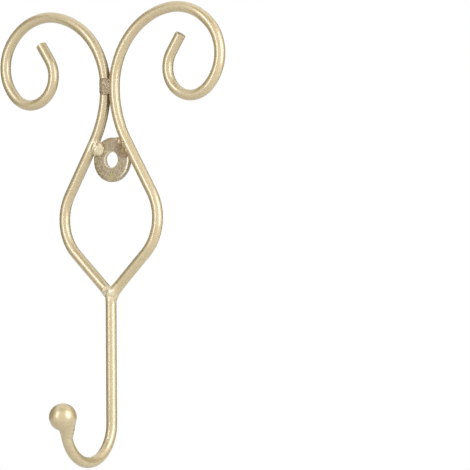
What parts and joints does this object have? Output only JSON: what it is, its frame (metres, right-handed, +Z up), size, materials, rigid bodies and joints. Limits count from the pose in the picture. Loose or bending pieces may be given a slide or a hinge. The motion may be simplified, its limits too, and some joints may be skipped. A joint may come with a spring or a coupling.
{
  "type": "wall coat hook",
  "caption": "Welded wire wall hook: mirrored scrolls above an open diamond, a screw washer between them, and a ball-tipped J hook below for hanging coats.",
  "frame": {"origin": "centre of the screw hole on the wall plane, which is the washer's back face", "axes": "+Z up along the wall, +X to the right seen from the room, -Y out of the wall towards the room"},
  "size_m": [0.1024, 0.0364, 0.1696],
  "materials": {
    "gold_wire_paint": "satin pale gold metallic paint on steel wire",
    "gold_washer_paint": "the same paint, duller and grainy, on a stamped steel washer",
    "gold_weld_paint": "the same paint over rough weld metal"
  },
  "bodies": {
    "root": {"left_scroll_wire": "gold_wire_paint", "right_scroll_wire": "gold_wire_paint", "hook_rod": "gold_wire_paint", "hook_ball": "gold_wire_paint", "mounting_washer": "gold_washer_paint", "waist_weld": "gold_weld_paint", "left_washer_weld": "gold_weld_paint", "right_washer_weld": "gold_weld_paint", "fork_weld": "gold_weld_paint", "ball_weld": "gold_weld_paint"}
  },
  "joints": []
}
